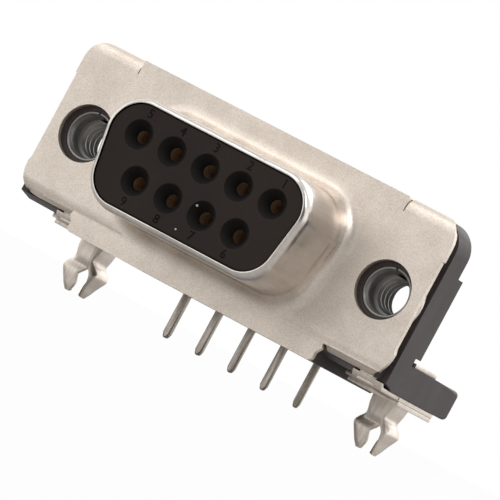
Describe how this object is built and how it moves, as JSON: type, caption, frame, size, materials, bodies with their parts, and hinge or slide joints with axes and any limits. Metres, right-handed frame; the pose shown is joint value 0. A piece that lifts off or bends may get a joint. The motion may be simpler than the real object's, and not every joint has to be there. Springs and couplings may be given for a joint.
{
  "type": "d-sub connector",
  "caption": "Right-angle board-mount D-sub socket connector with a drawn metal shroud, black insulator, screw inserts, board locks and bent solder tails.",
  "frame": {"origin": "on the mating axis, midway between the two screw inserts, in the plane of the shell flange's front face", "axes": "+X along the contact rows, to the right as seen by the mating plug; -Y towards the mating plug; +Z away from the board"},
  "size_m": [0.0308, 0.0184, 0.0162],
  "materials": {
    "tinned_shell": "matte tin plate with a fine speckle",
    "black_plastic": "satin moulded thermoplastic",
    "insert_steel": "dull plated steel",
    "tinned_strip": "bright tin plate",
    "contact_alloy": "gold flash on the sockets"
  },
  "bodies": {
    "root": {"shell": "tinned_shell", "front_insulator": "black_plastic", "housing": "black_plastic", "tail_organizer": "black_plastic", "insert_left": "insert_steel", "insert_right": "insert_steel", "ground_strap_left": "tinned_strip", "ground_strap_right": "tinned_strip", "board_lock_left": "tinned_strip", "board_lock_right": "tinned_strip", "contact_1": "contact_alloy", "contact_2": "contact_alloy", "contact_3": "contact_alloy", "contact_4": "contact_alloy", "contact_5": "contact_alloy", "contact_6": "contact_alloy", "contact_7": "contact_alloy", "contact_8": "contact_alloy", "contact_9": "contact_alloy"}
  },
  "joints": []
}
